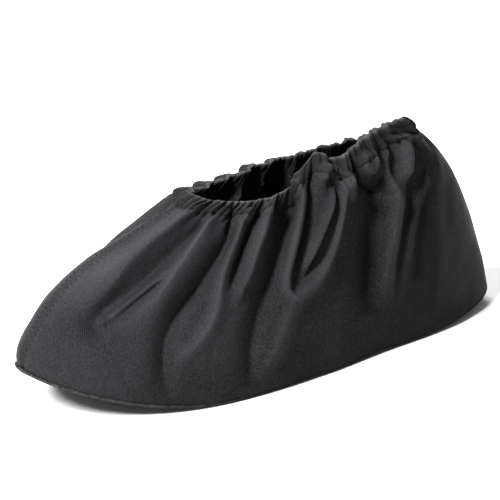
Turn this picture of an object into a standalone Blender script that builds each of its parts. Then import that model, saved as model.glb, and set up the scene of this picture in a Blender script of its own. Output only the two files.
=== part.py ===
"""A cloth overshoe: two side panels sewn to a sole, gathered into an elastic hem at the mouth.

It stands on its sole, as full as it is when it is worn. The toe points along -X, the heel
along +X, and the left panel is the one at -Y. Lengths are in metres, with +Z up.

A place on a side panel is given by its round, from 0 at the toe seam to 1 at the heel seam,
and its height, from 0 at the sole to 1 at the rim of the mouth.
"""

import bmesh
import bpy
import numpy as np

# Sole
LENGTH = 0.317
BALL_WIDTH = 0.110
HEEL_WIDTH = 0.086
TOE_LIFT = 0.024
HEEL_LIFT = 0.008
SOLE_THICKNESS = 0.0022
SOLE_SQUARENESS = 2.35

# Mouth
MOUTH_LENGTH = 0.140
MOUTH_WIDTH = 0.044
MOUTH_SHIFT = 0.022
MOUTH_SQUARENESS = 2.3
FRONT_HEIGHT = 0.104
BACK_HEIGHT = 0.124

# Cloth
CLOTH = 0.0012
HEM_DEPTH = 0.012
HEM_THICKNESS = 0.0030
SEAM_GAP = 0.0003
HEM_GAP = 0.0006

# Folds
FOLD_DEPTH = 0.0075
FOLD_BREADTH = 0.020
GATHER_DEPTH = 0.0010
GATHER_PITCH = 0.0085

# How finely curves are measured, and the panels, the hem and the sole divided
CURVE_STEPS = 720
ROUNDS = 84
PANEL_HEIGHTS = 12
HEM_HEIGHTS = 3
SOLE_STATIONS = 40

# Half width of the sole: shares of the ball's and the heel's half widths, along the length.
SOLE_ROWS = {
    "along": (0.00, 0.14, 0.30, 0.52, 0.68, 0.84, 1.00),
    "ball": (0.80, 0.93, 1.00, 0.55, 0.12, 0.00, 0.00),
    "heel": (0.00, 0.00, 0.00, 0.46, 0.86, 1.00, 0.93),
}
# Where the toe stops curving up and the heel starts to, as shares of the length.
TOE_LIFT_END = 0.32
HEEL_LIFT_START = 0.72

# The rim: its breadth as a share of the mouth's, and how far each side rises, as a share of
# the way from the front height to the back height.
RIM_ROWS = {
    "round": (0.00, 0.10, 0.20, 0.31, 0.38, 0.43, 0.47, 0.54, 0.62, 0.69, 0.77, 0.86, 0.93, 1.00),
    "breadth": (1.00, 1.02, 1.03, 1.02, 1.00, 1.00, 1.00, 1.00, 0.99, 0.97, 0.94, 0.90, 0.86, 0.82),
    "left": (0.00, -0.10, -0.16, -0.10, 0.14, 0.62, 0.90, 0.64, 0.74, 1.02, 1.14, 1.18, 1.12, 1.00),
    "right": (0.00, -0.12, -0.15, -0.10, 0.00, 0.02, 0.04, 0.10, 0.17, 0.24, 0.28, 0.42, 0.72, 1.00),
}
# The wall from the sole to the rim: how far it rises before it turns in, how long it leads up
# to the rim and how far its shoulder stands out there, as shares of its own height, and how it
# leans out at the sole.
WALL_ROWS = {
    "round": (0.00, 0.12, 0.30, 0.50, 0.75, 0.90, 1.00),
    "rise": (0.44, 0.44, 0.44, 0.42, 0.40, 0.34, 0.30),
    "lean": (0.20, 0.12, 0.10, 0.08, 0.00, -0.18, -0.25),
    "pull": (0.52, 0.46, 0.34, 0.30, 0.30, 0.27, 0.25),
    "shoulder": (0.00, 0.00, 0.00, 0.00, 0.06, 0.18, 0.21),
}

# Each fold runs down the panel from its top, at the hem, to its foot, at its low end. Top and
# foot are rounds, low and high are the heights between which it shows. Depth is a share of the
# fold depth, out where positive and in where negative, and breadth a share of the fold breadth.
FOLD_COLUMNS = ("top", "foot", "low", "high", "depth", "breadth")
FOLD_ROWS = {
    "left": (
        (0.055, 0.075, 0.36, 1.0, -0.90, 1.20),
        (0.150, 0.100, 0.34, 0.7, -0.35, 0.50),
        (0.100, 0.145, 0.40, 1.0, 0.70, 1.30),
        (0.205, 0.205, 0.05, 1.0, -1.15, 1.10),
        (0.240, 0.250, 0.20, 1.0, 0.75, 0.80),
        (0.280, 0.282, 0.50, 1.0, -0.60, 0.60),
        (0.312, 0.303, 0.44, 1.0, 0.65, 0.80),
        (0.348, 0.338, 0.03, 1.0, -1.10, 1.00),
        (0.410, 0.412, 0.38, 1.0, 0.70, 0.90),
        (0.456, 0.430, 0.42, 1.0, -0.85, 0.80),
        (0.540, 0.455, 0.45, 0.9, -0.40, 0.60),
        (0.565, 0.462, 0.38, 1.0, 0.75, 1.00),
        (0.420, 0.367, 0.08, 0.5, 0.25, 0.90),
        (0.622, 0.613, 0.20, 1.0, -1.10, 1.50),
        (0.715, 0.630, 0.22, 1.0, 0.80, 1.30),
        (0.752, 0.700, 0.50, 1.0, -0.45, 0.90),
        (0.790, 0.700, 0.30, 1.0, 0.35, 0.90),
        (0.845, 0.782, 0.05, 1.0, 0.35, 0.90),
        (0.890, 0.860, 0.60, 1.0, -0.40, 0.90),
    ),
    "right": (
        (0.070, 0.090, 0.38, 1.0, -0.80, 1.20),
        (0.118, 0.150, 0.42, 1.0, 0.65, 1.10),
        (0.180, 0.175, 0.12, 1.0, -1.00, 1.10),
        (0.232, 0.222, 0.30, 1.0, 0.70, 1.00),
        (0.276, 0.262, 0.46, 1.0, -0.70, 0.70),
        (0.318, 0.310, 0.36, 1.0, 0.65, 0.90),
        (0.372, 0.352, 0.06, 1.0, -1.10, 1.10),
        (0.430, 0.405, 0.34, 1.0, 0.70, 1.00),
        (0.478, 0.452, 0.44, 1.0, -0.75, 0.80),
        (0.530, 0.498, 0.28, 1.0, 0.70, 1.00),
        (0.588, 0.560, 0.10, 1.0, -1.05, 1.30),
        (0.655, 0.622, 0.30, 1.0, 0.75, 1.10),
        (0.705, 0.672, 0.48, 1.0, -0.60, 0.90),
        (0.760, 0.720, 0.24, 1.0, 0.55, 1.10),
        (0.820, 0.780, 0.40, 1.0, -0.50, 1.00),
        (0.880, 0.850, 0.30, 1.0, 0.35, 1.00),
    ),
}
# Share of a fold's height over which it fades in at its low end.
FOLD_FADE = 0.30
# What is left of a fold at the rim, and the height where the hem starts to press it flat.
FOLD_AT_RIM = 0.45
HEM_PRESS_START = 0.84
# The rounds next to the toe and heel seams over which folds fade out.
SEAM_FADE = 0.05
# The height above which the fine gathers start, how far their pitch drifts, as a share of the
# way round, and how often.
GATHER_START = 0.80
GATHER_DRIFT = 0.006
GATHER_DRIFT_TURNS = 3.7
# Where a fold stands steeply the cloth goes through it at a slant, to this share at the least.
LEAST_SLANT = 0.6

SIDES = {"left": -1.0, "right": 1.0}
SHARP_ANGLE = np.radians(60.0)

# Colours and roughness
BLACK_CLOTH = (0.020, 0.020, 0.022, 1.0)
BLACK_HEM = (0.014, 0.014, 0.015, 1.0)
GREY_SOLE = (0.045, 0.045, 0.046, 1.0)
CLOTH_ROUGHNESS = 0.62
HEM_ROUGHNESS = 0.70
SOLE_ROUGHNESS = 0.80


def clear_scene():
    for thing in list(bpy.data.objects):
        bpy.data.objects.remove(thing)


def smooth_step(value):
    value = np.clip(value, 0.0, 1.0)
    return value * value * (3.0 - 2.0 * value)


def unit(vectors):
    return vectors / np.linalg.norm(vectors, axis=-1, keepdims=True)


def read_rows(rows, key, column, at):
    """A column of a table, read along its key column with smooth curves between the rows."""
    x, y = np.array(rows[key], float), np.array(rows[column], float)
    slope = np.gradient(y, x)
    i = np.clip(np.searchsorted(x, at) - 1, 0, len(x) - 2)
    step = x[i + 1] - x[i]
    s = (at - x[i]) / step
    start = y[i] * (1 + 2 * s) * (1 - s) ** 2 + slope[i] * step * s * (1 - s) ** 2
    end = y[i + 1] * s * s * (3 - 2 * s) + slope[i + 1] * step * s * s * (s - 1)
    return start + end


def half_oval(length, half_width, squareness):
    """Half an oval from its front end to its back end: the share of its own arc, x and y."""
    angle = np.linspace(0.0, np.pi, CURVE_STEPS + 1)
    c, s = np.cos(angle), np.sin(angle)
    x = -0.5 * length * np.sign(c) * np.abs(c) ** (2.0 / squareness)
    y = half_width(x / length + 0.5) * np.abs(s) ** (2.0 / squareness)
    arc = np.concatenate([[0.0], np.cumsum(np.hypot(np.diff(x), np.diff(y)))])
    return arc / arc[-1], x, y, arc[-1]


def sole_half_width(along):
    ball = read_rows(SOLE_ROWS, "along", "ball", along) * BALL_WIDTH
    heel = read_rows(SOLE_ROWS, "along", "heel", along) * HEEL_WIDTH
    return 0.5 * (ball + heel)


def sole_lift(x):
    """How far the sole's underside is off the floor."""
    along = x / LENGTH + 0.5
    toe = np.clip(1.0 - along / TOE_LIFT_END, 0.0, 1.0)
    heel = np.clip((along - HEEL_LIFT_START) / (1.0 - HEEL_LIFT_START), 0.0, 1.0)
    return TOE_LIFT * toe**2 + HEEL_LIFT * heel**2


def sole_edge(rounds):
    arc, x, y, _ = half_oval(LENGTH, sole_half_width, SOLE_SQUARENESS)
    return np.interp(rounds, arc, x), np.interp(rounds, arc, y)


def foot_line(rounds):
    """The lower edge of a panel, just above the sole's edge."""
    x, y = sole_edge(rounds)
    return np.stack([x, y, sole_lift(x) + SOLE_THICKNESS + SEAM_GAP], -1)


def mouth_half_width(along):
    return np.full_like(along, 0.5 * MOUTH_WIDTH)


def rim_line(rounds, side):
    """The upper edge of the hem on one side of the mouth."""
    arc, x, y, _ = half_oval(MOUTH_LENGTH, mouth_half_width, MOUTH_SQUARENESS)
    lift = read_rows(RIM_ROWS, "round", side, rounds)
    x = np.interp(rounds, arc, x) + MOUTH_SHIFT
    y = np.interp(rounds, arc, y) * read_rows(RIM_ROWS, "round", "breadth", rounds)
    return np.stack([x, y, FRONT_HEIGHT + lift * (BACK_HEIGHT - FRONT_HEIGHT)], -1)


def outward(rounds):
    """Level directions that point away from the sole's edge."""
    step = 1.0 / CURVE_STEPS
    x0, y0 = sole_edge(np.clip(rounds - step, 0.0, 1.0))
    x1, y1 = sole_edge(np.clip(rounds + step, 0.0, 1.0))
    away = np.stack([y0 - y1, x1 - x0, 0.0 * x0], -1)
    away[rounds <= 0.0] = (-1.0, 0.0, 0.0)
    away[rounds >= 1.0] = (1.0, 0.0, 0.0)
    return unit(away)


def wall_curves(rounds, side):
    """The four control points of each round's curve from the sole to the rim."""
    foot, rim = foot_line(rounds), rim_line(rounds, side)
    tall = (rim - foot)[:, 2:]
    rise = read_rows(WALL_ROWS, "round", "rise", rounds)[:, None] * tall
    lean = read_rows(WALL_ROWS, "round", "lean", rounds)[:, None]
    pull = read_rows(WALL_ROWS, "round", "pull", rounds)[:, None] * tall
    shoulder = read_rows(WALL_ROWS, "round", "shoulder", rounds)[:, None] * tall
    low = foot + rise * (np.array([0.0, 0.0, 1.0]) + lean * outward(rounds))
    high = rim + pull * unit(low - rim) + shoulder * outward(rounds)
    return foot, low, high, rim


def along_curves(curves, heights):
    """Points on the curves. Heights is a grid, rounds x heights, as every grid here is."""
    foot, low, high, rim = (points[:, None] for points in curves)
    h = heights[:, :, None]
    lower = foot * (1 - h) ** 3 + 3 * low * (1 - h) ** 2 * h
    return lower + 3 * high * (1 - h) * h**2 + rim * h**3


def division_heights(curves):
    """The heights at which each round is divided: the panel's, then a gap, then the hem's."""
    fine = np.linspace(0.0, 1.0, CURVE_STEPS + 1)
    points = along_curves(curves, np.tile(fine, (len(curves[0]), 1)))
    steps = np.linalg.norm(np.diff(points, axis=1), axis=2)
    heights = []
    for row in steps:
        arc = np.concatenate([[0.0], np.cumsum(row)])
        hem_foot = arc[-1] - HEM_DEPTH
        panel = np.linspace(0.0, hem_foot - HEM_GAP, PANEL_HEIGHTS + 1)
        hem = np.linspace(hem_foot, arc[-1], HEM_HEIGHTS + 1)
        heights.append(np.interp(np.concatenate([panel, hem]), arc, fine))
    return np.array(heights)


def folds(rounds, heights, side):
    """How far the folds push the wall out."""
    r, h = rounds[:, None], heights
    push = np.zeros_like(heights)
    for row in FOLD_ROWS[side]:
        fold = dict(zip(FOLD_COLUMNS, row))
        along = np.clip((h - fold["low"]) / (1.0 - fold["low"]), 0.0, 1.0)
        middle = fold["foot"] + (fold["top"] - fold["foot"]) * smooth_step(along)
        shows = smooth_step((h - fold["low"]) / FOLD_FADE)
        if fold["high"] < 1.0:
            shows = shows * smooth_step((fold["high"] - h) / FOLD_FADE)
        across = (r - middle) / (FOLD_BREADTH * fold["breadth"])
        push += fold["depth"] * shows * np.exp(-(across**2))
    pressed = 1.0 - (1.0 - FOLD_AT_RIM) * smooth_step((h - HEM_PRESS_START) / (1.0 - HEM_PRESS_START))
    return FOLD_DEPTH * push * pressed * seam_fade(r)


def seam_fade(rounds):
    return smooth_step(rounds / SEAM_FADE) * smooth_step((1.0 - rounds) / SEAM_FADE)


def gathers(rounds, heights):
    """The fine puckers that the elastic draws up along the rim."""
    rim_length = half_oval(MOUTH_LENGTH, mouth_half_width, MOUTH_SQUARENESS)[3]
    count = round(rim_length / GATHER_PITCH)
    drift = GATHER_DRIFT * np.sin(2.0 * np.pi * GATHER_DRIFT_TURNS * rounds)
    wave = np.sin(2.0 * np.pi * count * (rounds + drift))
    grow = smooth_step((heights - GATHER_START) / (1.0 - GATHER_START))
    return GATHER_DEPTH * (wave * seam_fade(rounds))[:, None] * grow


def round_way(points):
    """The way round the cover at each point. The first and last rounds lie on the seams."""
    mirrored = points * np.array([1.0, -1.0, 1.0])
    padded = np.concatenate([mirrored[1:2], points, mirrored[-2:-1]])
    return unit(padded[2:] - padded[:-2])


def normals(points):
    """Outward directions of a grid of points."""
    return unit(np.cross(np.gradient(points, axis=1), round_way(points)))


def side_faces(side):
    """The cloth's outer face on one side, as if it were the +Y side, and the way through it."""
    rounds = np.linspace(0.0, 1.0, ROUNDS + 1)
    curves = wall_curves(rounds, side)
    heights = division_heights(curves)
    outer = along_curves(curves, heights)
    through = normals(outer)
    push = folds(rounds, heights, side) + gathers(rounds, heights)
    outer += push[:, :, None] * through
    slant = np.sum(through * normals(outer), axis=2)
    through /= np.maximum(slant, LEAST_SLANT)[:, :, None]
    panel_top, hem_foot = PANEL_HEIGHTS, PANEL_HEIGHTS + 1
    outer[:, panel_top] = outer[:, hem_foot] - np.array([0.0, 0.0, HEM_GAP])
    through[:, panel_top] = through[:, hem_foot]
    return outer, through


def material(name, colour, roughness):
    made = bpy.data.materials.new(name)
    made.use_nodes = True
    shader = made.node_tree.nodes["Principled BSDF"]
    shader.inputs["Base Color"].default_value = colour
    shader.inputs["Roughness"].default_value = roughness
    shader.inputs["Metallic"].default_value = 0.0
    return made


def mesh_object(name, bm, finish):
    bmesh.ops.triangulate(bm, faces=bm.faces, quad_method="SHORT_EDGE")
    bmesh.ops.recalc_face_normals(bm, faces=bm.faces)
    mesh = bpy.data.meshes.new(name)
    bm.to_mesh(mesh)
    bm.free()
    mesh.shade_smooth()
    mesh.set_sharp_from_angle(angle=SHARP_ANGLE)
    thing = bpy.data.objects.new(name, mesh)
    thing.data.materials.append(finish)
    bpy.context.scene.collection.objects.link(thing)
    return thing


def quads_between(bm, first, second, closed):
    """Faces between two rows of vertices."""
    count = len(first)
    for i in range(count if closed else count - 1):
        j = (i + 1) % count
        bm.faces.new((first[i], first[j], second[j], second[i]))


def closed_shell(outer, inner, joined):
    """A closed wall from the grids of its two faces. Joined walls run right round the mouth."""
    bm = bmesh.new()
    section = np.concatenate([outer, inner[:, ::-1]], axis=1)
    rows = [[bm.verts.new(point) for point in row] for row in section]
    for first, second in zip(rows, rows[1:]):
        quads_between(bm, first, second, closed=True)
    if joined:
        quads_between(bm, rows[-1], rows[0], closed=True)
    else:
        height = outer.shape[1]
        for row in (rows[0], rows[-1]):
            quads_between(bm, row[:height], row[:height - 1:-1], closed=False)
    return bm


def side_panel(side, finish):
    """One side of the cover, from the toe seam to the heel seam and from the sole to the hem."""
    outer, through = (grid[:, :PANEL_HEIGHTS + 1] for grid in side_faces(side))
    inner = outer - CLOTH * through
    inner[:, 0, 2] = outer[:, 0, 2]
    for face in (outer, inner):
        face[:, :, 1] = np.maximum(face[:, :, 1], 0.5 * SEAM_GAP) * SIDES[side]
    return mesh_object(f"{side}_panel", closed_shell(outer, inner, joined=False), finish)


def hem_side(side):
    """The hem's two faces along one side. It is a flat tube, thickest halfway up."""
    outer, through = (grid[:, PANEL_HEIGHTS + 1:] for grid in side_faces(side))
    up = np.linspace(-1.0, 1.0, HEM_HEIGHTS + 1)
    bulge = 0.5 * (HEM_THICKNESS - CLOTH) * (1.0 - up**2)[None, :, None] * unit(through)
    inner = outer - CLOTH * through - bulge
    turn = np.array([1.0, SIDES[side], 1.0])
    return (outer + bulge) * turn, inner * turn


def elastic_hem(finish):
    """The folded hem that holds the elastic, all the way round the mouth."""
    left, right = hem_side("left"), hem_side("right")
    outer, inner = (
        np.concatenate([one[:-1], other[:0:-1]]) for one, other in zip(left, right)
    )
    return mesh_object("elastic_hem", closed_shell(outer, inner, joined=True), finish)


def sole(finish):
    """The flat sole, turned up at the toe and a little at the heel."""
    rounds = np.linspace(0.0, 1.0, SOLE_STATIONS + 1)
    x, y = sole_edge(rounds)
    bm = bmesh.new()
    rings = []
    for up in (0.0, SOLE_THICKNESS):
        z = sole_lift(x) + up
        right = [bm.verts.new(point) for point in zip(x, y, z)]
        left = [bm.verts.new(point) for point in zip(x[1:-1], -y[1:-1], z[1:-1])]
        ring = right + left[::-1]
        count = len(ring)
        for i in range(1, SOLE_STATIONS):
            far = (ring[i], ring[i + 1], ring[(count - i - 1) % count], ring[(count - i) % count])
            bm.faces.new(dict.fromkeys(far))
        bm.faces.new((ring[0], ring[1], ring[-1]))
        rings.append(ring)
    quads_between(bm, rings[0], rings[1], closed=True)
    return mesh_object("sole", bm, finish)


def main():
    clear_scene()
    cloth = material("black_cloth", BLACK_CLOTH, CLOTH_ROUGHNESS)
    hem = material("black_hem", BLACK_HEM, HEM_ROUGHNESS)
    coarse = material("grey_sole", GREY_SOLE, SOLE_ROUGHNESS)
    for side in SIDES:
        side_panel(side, cloth)
    elastic_hem(hem)
    sole(coarse)


main()
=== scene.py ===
import bmesh
import bpy
import numpy as np
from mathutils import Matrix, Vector, noise


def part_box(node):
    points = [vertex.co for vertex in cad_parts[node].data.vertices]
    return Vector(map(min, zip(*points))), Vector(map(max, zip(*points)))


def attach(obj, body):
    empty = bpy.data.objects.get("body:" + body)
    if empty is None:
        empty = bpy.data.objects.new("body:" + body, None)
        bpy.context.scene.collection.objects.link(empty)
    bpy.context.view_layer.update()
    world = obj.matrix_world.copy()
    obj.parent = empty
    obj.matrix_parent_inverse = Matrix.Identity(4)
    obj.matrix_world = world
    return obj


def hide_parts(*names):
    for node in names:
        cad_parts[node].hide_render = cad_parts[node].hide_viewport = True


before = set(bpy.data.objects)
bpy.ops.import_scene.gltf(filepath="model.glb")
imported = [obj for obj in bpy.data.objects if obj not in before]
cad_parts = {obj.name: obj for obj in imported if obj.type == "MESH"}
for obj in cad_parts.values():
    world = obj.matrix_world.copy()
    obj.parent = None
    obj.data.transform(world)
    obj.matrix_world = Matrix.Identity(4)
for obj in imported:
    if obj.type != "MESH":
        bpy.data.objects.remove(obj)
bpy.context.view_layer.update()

# A black cloth overshoe on a pale floor. Lengths are in metres. The toe points along -X, the heel
# along +X, and the left panel, at -Y, is the near one. A place on a side panel is given by its
# round, from 0 at the toe seam to 1 at the heel seam, and its height, from 0 at the sole to 1 at
# the rim of the mouth.

# The sole. The frame gives its length and how far its toe is lifted.
SOLE_LOW, SOLE_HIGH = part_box("sole")
LENGTH = SOLE_HIGH.x - SOLE_LOW.x
SOLE_THICKNESS = 0.0022
TOE_LIFT = SOLE_HIGH.z - SOLE_THICKNESS
HEEL_LIFT = 0.008
BALL_WIDTH = 0.110
HEEL_WIDTH = 0.086
SOLE_SQUARENESS = 2.35
# How far the sole's edge stands out at the toe, and where that starts in front of the middle and
# how long it takes, as shares of the length.
TOE_LIP = 0.0013
TOE_LIP_START = 0.1
TOE_LIP_WAY = 0.3
# The rings of points on each face of the sole, as shares of the way from its spine to its edge,
# and the spine's ends, as shares of the length. Points closer than the last number are joined.
SOLE_RINGS = (1.0, 0.994, 0.985, 0.97, 0.95, 0.92, 0.88, 0.82, 0.74, 0.64, 0.52, 0.39, 0.26, 0.13, 0.0)
SPINE_ENDS = (-0.34, 0.36)
JOIN_REACH = 0.00002

MOUTH_LENGTH = 0.140
MOUTH_WIDTH = 0.044
MOUTH_SHIFT = 0.022
MOUTH_SQUARENESS = 2.3
FRONT_HEIGHT = 0.104
BACK_HEIGHT = 0.124

CLOTH = 0.0009
HEM_DEPTH = 0.012
HEM_THICKNESS = 0.0040
# How far the foot of the hem wanders up and down, and how unevenly the hem is filled.
HEM_WANDER = 0.0016
HEM_WANDER_TURNS = 26.0
HEM_PUFF = 0.45
HEM_PUFF_TURNS = 160.0
# How far the hem's inner face is evened out, from 0 to 1, and over how many rounds each way.
HEM_BACK_EVEN = 0.8
HEM_BACK_ROUNDS = 9
# How many rows of points from its top down the hem carry a painted highlight.
HEM_HIGHLIGHT_ROWS = 3.0
SEAM_GAP = 0.0003
# How far the edges of the two panels reach past each other in the toe and heel seams.
SEAM_LAP = 0.0002
# How far the inner face of a panel reaches down into the sole, so that no light comes through.
FOOT_TUCK = 0.0009
SEAM_GROOVE = 0.0013
SEAM_GROOVE_BREADTH = 0.0016
# The toe seam stands out at one height, where it bends, and sinks in at another: the height of
# the middle, the half height and the depth. The last number is how far round this reaches.
KNUCKLE = ((0.50, 0.13, 0.0020), (0.22, 0.12, -0.0024))
KNUCKLE_ROUNDS = 0.07

FOLD_DEPTH = 0.0075
FOLD_BREADTH = 0.0075

# How finely the cloth is divided. The inner face has half as many divisions as the outer one.
CURVE_STEPS = 720
WALL_STEPS = 240
PATH_STEPS = 8
ROUNDS = 448
PANEL_HEIGHTS = 160
HEM_PROFILE = 28
SOLE_STATIONS = 160
# How much closer than evenly the rounds stand at the seams, as a share of their pitch.
SEAM_CROWDING = 0.25
SMOOTH_ANGLE = 50.0

SIDES = {"left": -1.0, "right": 1.0}

# Half width of the sole: shares of the ball's and the heel's half widths, along the length.
SOLE_ROWS = {
    "along": (0.00, 0.14, 0.30, 0.52, 0.68, 0.84, 1.00),
    "ball": (0.80, 0.93, 1.00, 0.55, 0.12, 0.00, 0.00),
    "heel": (0.00, 0.00, 0.00, 0.46, 0.86, 1.00, 0.93),
}
# Where the toe stops curving up and the heel starts to, as shares of the length.
TOE_LIFT_END = 0.32
HEEL_LIFT_START = 0.72

# The rim: its breadth as a share of the mouth's, and how far each side rises, as a share of
# the way from the front height to the back height.
RIM_ROWS = {
    "round": (0.00, 0.10, 0.20, 0.31, 0.38, 0.43, 0.47, 0.54, 0.62, 0.69, 0.77, 0.86, 0.93, 1.00),
    "breadth": (1.00, 1.02, 1.03, 1.02, 1.00, 1.00, 1.00, 1.00, 0.99, 0.97, 0.94, 0.90, 0.86, 0.82),
    "left": (0.00, -0.10, -0.16, -0.10, 0.14, 0.62, 0.90, 0.64, 0.74, 1.02, 1.14, 1.18, 1.12, 1.00),
    "right": (0.00, -0.12, -0.15, -0.10, 0.00, 0.02, 0.04, 0.10, 0.17, 0.24, 0.28, 0.42, 0.72, 1.00),
}
# The wall from the sole to the rim: how far it rises before it turns in, how long it leads up
# to the rim and how far its shoulder stands out there, as shares of its own height, and how it
# leans out at the sole.
WALL_ROWS = {
    "round": (0.00, 0.12, 0.30, 0.50, 0.75, 0.90, 1.00),
    "rise": (0.44, 0.44, 0.44, 0.42, 0.40, 0.34, 0.30),
    "lean": (0.20, 0.12, 0.10, 0.08, 0.00, -0.18, -0.25),
    "pull": (0.52, 0.46, 0.34, 0.30, 0.30, 0.27, 0.25),
    "shoulder": (0.00, 0.00, 0.00, 0.00, 0.06, 0.18, 0.21),
}

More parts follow.
